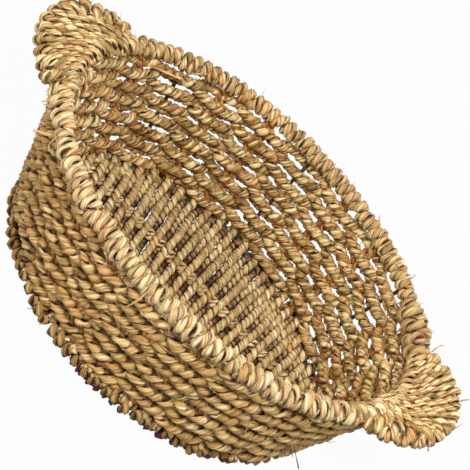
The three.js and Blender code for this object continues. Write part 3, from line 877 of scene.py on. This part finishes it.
stake_pieces = []
for k, angle in enumerate(STAKES):
    if not is_upright(k):
        number = f"{len(stake_pieces) + 1:02d}"
        stake_pieces.append(cord(f"stake_cord_{number}", [stake_line(angle)], stake_finish,
                                 "stake_cord", [f"cord_stake_{number}"], diameter=STAKE_CORD,
                                 seed=STAKE_SEED + k, wander=0.3 * MM, ply_sides=8,
                                 lay_length=12 * MM, side_shade=0.0))
print("cord stakes:", len(stake_pieces))

# %% [markdown]
# ## The wound rim
#
# The rim ring is wound with cord from one ear to the other along each long side. The turns lie
# close and the cord is laid loosely, so that its plies run nearly side by side round the rim.
# The winding tree does this from the ring's own line. Behind the right ear and in front of the
# left one a few wider turns take in the wall's top row as well.

# %% Rim winding
RIM_TURN_PITCH = 8.2 * MM
RIM_PRESS = 0.9
THICK_DROP = 1.5 * MM
THICK_TURN_PITCH = 11.5 * MM
RIM_LINE_STEPS = 160
RIM_SEED = 60.0
ARC_STEP = math.radians(0.05)


def angle_after(length):
    """The angle at which the rim ring has run this far from the middle of an ear."""
    angle, run = 0.0, 0.0
    while run < length:
        a, b = outline(angle, RIM_Z)[0], outline(angle + ARC_STEP, RIM_Z)[0]
        run += (b - a).length
        angle += ARC_STEP
    return angle


FAR_STRETCH = (angle_after(86 * MM), math.pi - angle_after(40 * MM))
NEAR_STRETCH = (math.pi + angle_after(62 * MM), math.tau - angle_after(26 * MM))
RIGHT_THICK_STRETCH = (angle_after(40 * MM), angle_after(88 * MM))
LEFT_THICK_STRETCH = (math.pi + angle_after(34 * MM), math.pi + angle_after(66 * MM))


def rim_wrap(name, stretch, nodes, finish, drop=0.0, pitch=RIM_TURN_PITCH, slip=1.4 * MM,
             **sizes):
    line = [outline(mix(*stretch, i / RIM_LINE_STEPS), RIM_Z)[0] - UP * drop
            for i in range(RIM_LINE_STEPS + 1)]
    wound_cord(name, line, pitch, finish, "rim_cord", nodes, press=RIM_PRESS, flatness=0.86,
               slip=slip, seed=RIM_SEED + stretch[0], ply_sides=14, unevenness=0.36,
               ridges=0.9 * MM, **sizes)


rim_wrap("rim_wrap_far", FAR_STRETCH, ["rim_winding_1", "rim_winding_2"], far_rim_finish,
         diameter=7.8 * MM, turn_radius=4.0 * MM, lay_length=15 * MM, lay_slip=1.5,
         wander=0.9 * MM, straws=2200.0)
rim_wrap("rim_wrap_near", NEAR_STRETCH, ["rim_winding_3", "rim_winding_4"], near_rim_finish,
         diameter=8.6 * MM, turn_radius=4.5 * MM, lay_length=18 * MM, lay_slip=1.4,
         wander=1.2 * MM, slip=2.0 * MM, straws=2200.0)
rim_wrap("rim_wrap_right_thick", RIGHT_THICK_STRETCH, [], far_rim_finish, drop=THICK_DROP,
         pitch=THICK_TURN_PITCH, slip=2.0 * MM, diameter=9.6 * MM, turn_radius=6.8 * MM,
         lay_length=20 * MM, lay_slip=0.9, wander=1.2 * MM)
rim_wrap("rim_wrap_left_thick", LEFT_THICK_STRETCH, [], near_rim_finish, drop=THICK_DROP,
         diameter=7.6 * MM, turn_radius=6.6 * MM, lay_length=13 * MM, lay_slip=1.2,
         wander=1.2 * MM, straws=6000.0)

# %% [markdown]
# ## The ear handles
#
# Each ear is a loop of wire that starts and ends on the rim ring. One cord goes round the ring
# and round the loop again and again, so its turns fan out like the ribs of a shell. Points are
# placed round both wires for every turn, and the cord is laid through them. Half of a loop has
# a second winding over that one, a roll of thick turns with deep gaps between them, and a few
# such turns also close its other corner.

# %% Ear windings
EAR_HALF_WIDTH = 45 * MM
EAR_REACH = 34 * MM
EAR_TILT = math.radians(10)
EAR_FAN = math.radians(92)
EAR_TURNS = 15
EAR_CORD = 7.6 * MM
EAR_TURN_RADIUS = 5.3 * MM
EAR_RING_FRONT, EAR_RING_BACK = 30 * MM, 43 * MM
WRAP_STEPS = 4
EDGE, CORNER = (-12, -86), (62, 92)
EDGE_CORD = 8.8 * MM
EDGE_TURN_PITCH = 10.8 * MM
EDGE_TURN_RADIUS = 5.3 * MM
UNDER_EDGE_RADIUS = 3.4 * MM
EDGE_LINE_STEPS = 40
EAR_SEEDS = (80.0, 83.0)
EDGE_SEED_STEP = 4


def ear_loop(angle):
    """A place on the loop wire, by the angle from its tip, and the way out of it."""
    end, out, _ = outline(math.asin(EAR_HALF_WIDTH / RIM_HALF[1]), RIM_Z)
    end_x = end.x + (ON_WIRE + WIRE_RADIUS * out.y) / out.x
    reach = RIM_HALF[0] + EAR_REACH - end_x
    x = end_x + reach * math.cos(angle)
    z = RIM_Z + (x - end_x) * math.tan(EAR_TILT)
    point = Vector((x, EAR_HALF_WIDTH * math.sin(angle), z))
    way = Vector((EAR_HALF_WIDTH * math.cos(angle), reach * math.sin(angle), 0))
    return point, way.normalized()


def ear_line(ring_front):
    """One cord's way round ring and loop. It lies closer where the edge roll covers it."""
    points = []
    steps = 2 * WRAP_STEPS + 2
    total = EAR_TURNS * steps
    for step in range(total):
        share = 2 * step / (total - 1) - 1
        on_ring = step % steps <= WRAP_STEPS
        if on_ring:
            length = (ring_front if share < 0 else EAR_RING_BACK) * share
            angle = math.copysign(angle_after(abs(length)), length)
            centre, out, _ = outline(angle, RIM_Z)
        else:
            centre, out = ear_loop(EAR_FAN * share)
        under_edge = not on_ring and math.degrees(EAR_FAN) * share < EDGE[0]
        radius = UNDER_EDGE_RADIUS if under_edge else EAR_TURN_RADIUS
        wrapped = step % steps if on_ring else step % steps - WRAP_STEPS - 1
        turned = math.pi / 2 * (1 if on_ring else -1) + math.pi * wrapped / WRAP_STEPS
        points.append(centre + (out * math.cos(turned) + UP * math.sin(turned)) * radius)
    return points


def edge_line(first, last):
    return [ear_loop(math.radians(mix(first, last, i / EDGE_LINE_STEPS)))[0]
            for i in range(EDGE_LINE_STEPS + 1)]


HALF_TURN = Matrix.Rotation(math.pi, 3, "Z")


def put_on(side, line):
    """The left ear is drawn like the right one, and then turned half round the basket."""
    return [HALF_TURN @ p for p in line] if side == "left" else line


for side, ring_front, seed in (("right", EAR_RING_FRONT, EAR_SEEDS[0]),
                               ("left", EAR_RING_BACK, EAR_SEEDS[1])):
    cord(f"ear_wrap_{side}", [put_on(side, ear_line(ring_front))], handle_finish, "handle_cord",
         [f"{side}_handle_winding"], diameter=EAR_CORD, seed=seed, wander=0.8 * MM,
         lay_length=14 * MM, ridges=0.5 * MM, side_shade=0.35)
    for part, stretch in (("edge", EDGE), ("corner", CORNER)):
        wound_cord(f"ear_{part}_{side}", put_on(side, edge_line(*stretch)), EDGE_TURN_PITCH,
                   handle_finish, "handle_cord", [], diameter=EDGE_CORD,
                   turn_radius=EDGE_TURN_RADIUS, seed=seed + EDGE_SEED_STEP, wander=0.8 * MM,
                   lay_length=14.5 * MM, ridges=0.6 * MM, unevenness=0.24, side_shade=0.5)

# %% [markdown]
# ## The laced floor
#
# Two thin doubled cords lie along the floor, and a thicker one is laced across from side to side.
# It passes over the ring, under the first stay, over the second and under the far ring, turns
# round that and comes back the other way. Each run is found from the place where it leaves the
# ring and how far it leans, so the whole floor is one line that never breaks.

# %% Floor lacing and stays
LACE_CORD = 7.3 * MM
LACE_OUT, LACE_UP, LACE_DOWN = 4.0 * MM, 5.4 * MM, 3.4 * MM
STAY_CORD = 5.6 * MM
STAY_OFFSET = 35 * MM
STAY_SPREAD = 2.8 * MM
STAY_Z = BASE_Z + 2.0 * MM
OVER_STAY, UNDER_STAY = 5.2 * MM, 5.4 * MM
LACE_CYCLE = 11.0 * MM
LACE_CYCLES = 11
RUN_OFFSET = 0.25 * LACE_CYCLE
LACE_LEAN = 0.1
LEAN_GROWTH = 2.4
MOST_LEAN = 0.26
LACE_END = 135 * MM
TURN_ANGLES = (-55, -20, 20, 60)
HALVINGS = 24
RUN_START, RUN_END = 0.05, 0.95
STAY_STEPS = 8
STAY_SEED = 91.0


def round_base(angle, turned, reach_out, reach_up, reach_down):
    """A place round the base ring's wire, turned from level: 90 degrees is on top of it."""
    point, out, _ = outline(angle, BASE_Z)
    rise = math.sin(math.radians(turned))
    lift = rise * (reach_up if rise > 0 else reach_down)
    return point + out * math.cos(math.radians(turned)) * reach_out + UP * lift


def ring_angle(x, side):
    return math.acos(max(-1, min(1, x / BASE_HALF[0]))) * side


def leaned(x, side):
    """Where a run meets the ring: the runs lean, and more so towards the left end."""
    lean = max(0, min(MOST_LEAN, LACE_LEAN - LEAN_GROWTH * x))
    low, high = -LACE_END, LACE_END
    for _ in range(HALVINGS):
        middle = (low + high) / 2
        reached = middle + lean * outline(ring_angle(middle, side), BASE_Z)[0].y
        low, high = (middle, high) if reached < x else (low, middle)
    return middle


def round_ring(x, side, turned):
    return round_base(ring_angle(x, side), turned, LACE_OUT, LACE_UP, LACE_DOWN)


def lace_turn(from_x, to_x, side):
    """Round the outside of the base ring, from its underside up to its top."""
    parts = len(TURN_ANGLES) + 1
    return [round_ring(mix(from_x, to_x, (i + 1) / parts), side, turned)
            for i, turned in enumerate(TURN_ANGLES)]


def lace_run(run_x, side):
    start = round_ring(leaned(run_x, side), side, 90)
    end = round_ring(leaned(run_x, -side), -side, -90)
    points = [start]
    for stay, height in ((side, -UNDER_STAY), (-side, OVER_STAY)):
        across = (stay * STAY_OFFSET - start.y) / (end.y - start.y)
        if RUN_START < across < RUN_END:
            x = mix(start.x, end.x, across)
            points.append(Vector((x, stay * STAY_OFFSET, STAY_Z + height)))
    return points + [end]


def lace_line():
    points = []
    for cycle in range(-LACE_CYCLES, LACE_CYCLES + 1):
        near_x, far_x = LACE_CYCLE * cycle - RUN_OFFSET, LACE_CYCLE * cycle + RUN_OFFSET
        points += lace_run(near_x, -1)
        points += lace_turn(leaned(near_x, 1), leaned(far_x, 1), 1) + lace_run(far_x, 1)
        if cycle < LACE_CYCLES:
            points += lace_turn(leaned(far_x, -1), leaned(near_x + LACE_CYCLE, -1), -1)
    return points


floor_pieces = [cord("floor_lace", [lace_line()], floor_finish, "floor_cord", ["floor_lacing"],
                     diameter=LACE_CORD, side_shade=0.5, lay_length=11.8 * MM, step=1.9 * MM,
                     ply_sides=8, seed=90.0, wander=0.8 * MM, ply_share=0.62, flatness=0.84,
                     straw_length=7 * MM)]
for number, side in ((1, 1), (2, -1)):
    low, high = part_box(f"floor_stay_{number}")
    legs = [[Vector((mix(low.x, high.x, i / STAY_STEPS), side * STAY_OFFSET + leg * STAY_SPREAD,
                     STAY_Z)) for i in range(STAY_STEPS + 1)] for leg in (-1, 1)]
    floor_pieces.append(cord(f"floor_lay_cord_{number}", legs, floor_finish, "floor_cord",
                             [f"floor_stay_{number}"], diameter=STAY_CORD,
                             seed=STAY_SEED + number, wander=0.3 * MM, lay_length=12 * MM,
                             side_shade=0.0))
print("floor pieces:", len(floor_pieces), "triangles in the lace:",
      triangle_count(floor_pieces[0]))

# %% [markdown]
# The outside of the base ring is hidden by thick hoops, one beside another all the way round,
# with thinner ones under the right end. At the two tight ends of the oval, where no lacing
# reaches, they also close over its inside.

# %% Hoops round the base ring
HOOP_PITCH = 9.3 * MM
HOOP_JITTER, JITTER_RATE, JITTER_POWER = 0.16, 2.4, 1.5
HOOP_OUT, HOOP_UP, HOOP_DOWN = 5.4 * MM, 4.6 * MM, 2.0 * MM
THIN_HOOP_OUT, THIN_HOOP_UP = 3.6 * MM, 3.8 * MM
THIN_HOOP_X = 98 * MM
SIDE_HOOP = (-150, -115, -75, -30, 15, 60)
END_HOOP = (-150, -115, -70, -20, 30, 80, 125)
HOOP_END_X = 120 * MM
RING_STEPS = 1440


def hoop_angles():
    """Angles at nearly even distances all the way round the base ring."""
    angles = [math.tau * i / RING_STEPS for i in range(RING_STEPS + 1)]
    points = [outline(angle, BASE_Z)[0] for angle in angles]
    whole = line_length(points)
    count = round(whole / HOOP_PITCH)
    found, run = [], 0.0
    for angle, a, b in zip(angles, points, points[1:]):
        nudge = HOOP_JITTER * math.sin(JITTER_RATE * len(found) ** JITTER_POWER)
        if run >= (len(found) + nudge) * whole / count and len(found) < count:
            found.append(angle)
        run += (b - a).length
    return found


def hoop(angle, reach_out, reach_up):
    at_end = abs(BASE_HALF[0] * math.cos(angle)) > HOOP_END_X
    return [round_base(angle, turned, reach_out, reach_up, HOOP_DOWN)
            for turned in (END_HOOP if at_end else SIDE_HOOP)]


angles = hoop_angles()
thin = [angle for angle in angles if BASE_HALF[0] * math.cos(angle) > THIN_HOOP_X]
hoops = [hoop(angle, HOOP_OUT, HOOP_UP) for angle in angles if angle not in thin]
thin_hoops = [hoop(angle, THIN_HOOP_OUT, THIN_HOOP_UP) for angle in thin]
cord("base_hoops", hoops, base_colour_and_shade, "floor_cord", [], diameter=8.8 * MM, lay_length=15 * MM,
     lay_start=0.25, lay_slip=1.4, seed=95.0, wander=1.6 * MM, unevenness=0.3, flatness=0.88)
cord("base_right_hoops", thin_hoops, base_colour_and_shade, "floor_cord", [], diameter=7.4 * MM,
     lay_length=13 * MM, lay_slip=1.4, seed=96.0, wander=1.4 * MM, unevenness=0.3,
     flatness=0.88, straws=4000.0)
print("thick hoops:", len(hoops), "thin hoops:", len(thin_hoops))

# %% [markdown]
# ## Single straws that stand out
#
# A few straws are long enough to be seen one by one: blades that cross the rim, ends that stick
# out of the outline, and loops that were never cut off. Scattering can't put them in the right
# place, so each is a short list of points in millimetres, laid as a cord with a single flat ply.

# %% Straws one by one
BROAD_STRAWS = [
    [(-128, -82, 120), (-134, -79, 114), (-141, -79, 108), (-147, -81, 105)],
    [(-130, -81, 118), (-130, -88, 115), (-127, -89, 111)],
    [(-139, 61, 104), (-128, 62, 109), (-116, 72, 108)],
    [(136, 60, 101), (135, 53, 113), (134, 53, 120)],
    [(-10, -120, 92), (-7, -125, 109), (-6, -124, 123)],
    [(-121, 36, 17), (-117, 43, 14), (-116, 50, 13)],
    [(-110, 48, 14), (-110, 54, 16), (-106, 57, 13)],
]
THIN_STRAWS = [
    [(-120, 78, 108), (-115, 72, 109), (-109, 72, 106)],
    [(-120, 79, 108), (-115, 75, 110), (-110, 76, 109)],
    [(-117, 78, 107), (-112, 77, 116), (-105, 84, 120)],
    [(-102, 75, 60), (-99, 79, 69), (-95, 83, 75)],
    [(111, 76, 102), (117, 71, 101), (122, 69, 97)],
    [(115, 74, 105), (120, 67, 107), (122, 69, 97)],
    [(113, 84, 126), (113, 85, 130), (113, 87, 133)],
    [(111, -82, 55), (109, -91, 70), (108, -89, 76), (112, -84, 73)],
    [(8, -117, 90), (12, -120, 96), (15, -121, 93), (15, -118, 86)],
    [(200, 25, 131), (202, 26, 135), (204, 28, 137)],
    [(162, 47, 126), (162, 48, 132), (164, 52, 135)],
    [(-58, -104, 10), (-60, -105, 5), (-62, -106, 2)],
    [(-45, -105, 12), (-46, -109, 9), (-47, -109, 4)],
    [(-154, -61, 119), (-157, -61, 115), (-159, -62, 112)],
    [(-151, -62, 117), (-154, -64, 116), (-156, -66, 115)],
]
DARK_HAIRS = [
    [(142, -48, 50), (149, -53, 49), (157, -57, 46)],
    [(139, -53, 45), (142, -48, 38), (144, -45, 33)],
    [(141, -51, 49), (145, -54, 49), (148, -55, 48)],
    [(199, -26, 131), (204, -27, 128), (208, -29, 125)],
]
pale_straw = seagrass("pale_straw", (170, 112, 60), (218, 164, 100), (240, 206, 150),
                      grooved=False)
dark_straw = seagrass("dark_straw", (70, 60, 50), (96, 84, 70), (120, 106, 88), grooved=False)
for name, lines, width, finish in (("broad_straws", BROAD_STRAWS, 2.0, pale_straw),
                                   ("thin_straws", THIN_STRAWS, 1.1, pale_straw),
                                   ("dark_hairs", DARK_HAIRS, 0.9, dark_straw)):
    lines = [[Vector(point) * MM for point in line] for line in lines]
    cord(name, lines, finish, "wall_cord", [], diameter=width * MM, plies=1, ply_share=1.0,
         flatness=0.5, ply_sides=6, lay_length=90 * MM, wander=0.0, ridges=0.1 * MM, straws=0.0,
         unevenness=0.3, seed=99.0)
    print(name, len(lines))

# %% [markdown]
# ## Light and floor
#
# The object stands on a white floor in studio light. One lamp above and in front gives the
# shapes their shadows, a wider and warmer one fills them from the left, a third lights the back
# wall, and a pale world keeps the rest from going black. Together they are at a level where a
# colour comes out about as it is written. The camera sees the floor as white, while its soft
# shadow still shows a little.

# %% Floor, world and lamps
FLOOR_HALF, FLOOR_DROP = 4.0, 0.2 * MM
FLOOR_WHITE = 0.97
FLOOR_GREY, WHITE, SKY = (0.35, 0.35, 0.35, 1), (1, 1, 1, 1), (0.97, 0.985, 1.0, 1)
SKY_STRENGTH = 0.2


def seen_white(tree, shade, white, share):
    """Mixes a plain white glow into a shader for rays that come from the camera."""
    light_path = add(tree, "ShaderNodeLightPath")
    seen = calc(tree, "MAXIMUM", light_path["Is Camera Ray"], light_path["Is Glossy Ray"])
    seen = calc(tree, "MAXIMUM", seen, light_path["Is Transmission Ray"])
    seen = calc(tree, "MULTIPLY", seen, share)
    return add(tree, "ShaderNodeMixShader", {0: seen, 1: shade, 2: white})[0]


floor_material, tree, shader = new_material("studio_floor")
fill(tree, shader, {"Base Color": FLOOR_GREY, "Roughness": 0.9})
glow = add(tree, "ShaderNodeEmission", {"Color": WHITE, "Strength": 1.0})[0]
fill(tree, tree.nodes["Material Output"],
     {"Surface": seen_white(tree, shader.outputs[0], glow, FLOOR_WHITE)})

corners = [(x * FLOOR_HALF, y * FLOOR_HALF, -FLOOR_DROP)
           for x, y in ((-1, -1), (1, -1), (1, 1), (-1, 1))]
floor_mesh = bpy.data.meshes.new("studio_floor")
floor_mesh.from_pydata(corners, [], [(0, 1, 2, 3)])
floor_mesh.materials.append(floor_material)
studio_floor = bpy.data.objects.new("studio_floor", floor_mesh)
scene.collection.objects.link(studio_floor)

world = bpy.data.worlds.new("studio")
world.use_nodes = True
scene.world = world
tree = world.node_tree
sky = tree.nodes["Background"]
fill(tree, sky, {"Color": SKY, "Strength": SKY_STRENGTH})
white = add(tree, "ShaderNodeBackground", {"Color": WHITE, "Strength": 1.0})[0]
fill(tree, tree.nodes["World Output"], {"Surface": seen_white(tree, sky.outputs[0], white, 1.0)})


def lamp(name, place, size, power, colour):
    data = bpy.data.lights.new(name, "AREA")
    data.size = size
    data.energy = power
    data.color = colour
    thing = bpy.data.objects.new(name, data)
    thing.location = place
    thing.rotation_euler = (-Vector(place)).to_track_quat("-Z", "Y").to_euler()
    scene.collection.objects.link(thing)


lamp("lamp_above", (0.2, -0.62, 1.28), size=0.4, power=20.2, colour=(1.0, 0.985, 0.96))
lamp("lamp_front", (-1.15, -0.85, 0.65), size=0.8, power=10.5, colour=(1.0, 0.93, 0.84))
lamp("lamp_behind", (0.7, 1.3, 0.55), size=0.9, power=10.0, colour=(1.0, 0.96, 0.9))
scene.view_settings.view_transform = "Standard"
print("lamps: above, front and behind")
